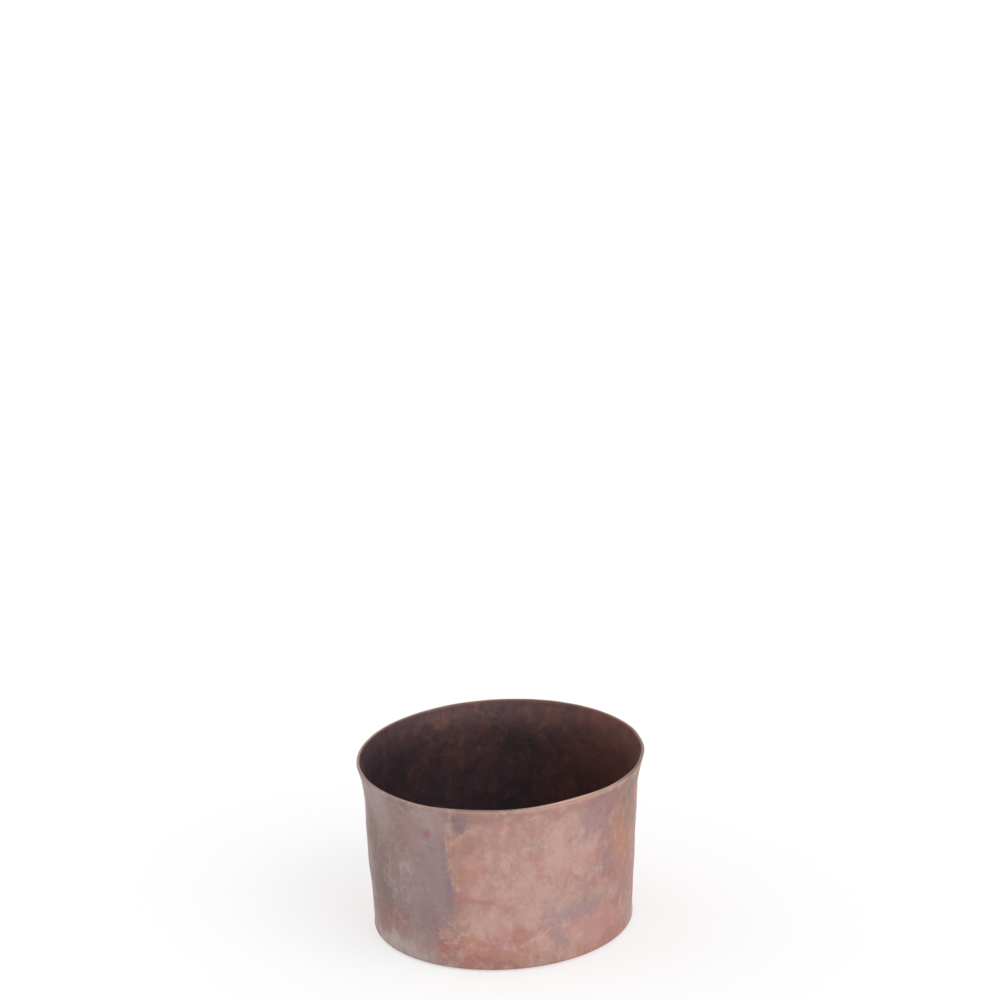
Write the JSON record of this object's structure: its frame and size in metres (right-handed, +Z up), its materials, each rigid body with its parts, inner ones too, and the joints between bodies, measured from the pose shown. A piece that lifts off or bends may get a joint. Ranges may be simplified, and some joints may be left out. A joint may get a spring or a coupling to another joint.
{
  "type": "wine bottle coaster",
  "caption": "Round copper bottle coaster: a tapered cup with a flared lip that holds a standing wine bottle and catches its drips.",
  "frame": {"origin": "centre of the felt's underside, on the surface that the coaster stands on", "axes": "+Z up along the cup's axis; -Y is the front as pictured, +X is to its right; the seam is 20.7 degrees from -Y towards -X"},
  "size_m": [0.0932, 0.0932, 0.0583],
  "materials": {
    "aged_copper": "aged sheet copper, mottled pink, orange and blue-grey, half matt",
    "braze": "planished brazing metal, tarnished",
    "dark_copper": "darkened sheet copper with rings worn by bottles",
    "solder": "dull grey soft solder",
    "felt": "dark brown wool felt"
  },
  "bodies": {
    "root": {"wall": "aged_copper", "seam_braze": "braze", "base_disc": "dark_copper", "base_solder": "solder", "felt_pad": "felt"}
  },
  "joints": []
}
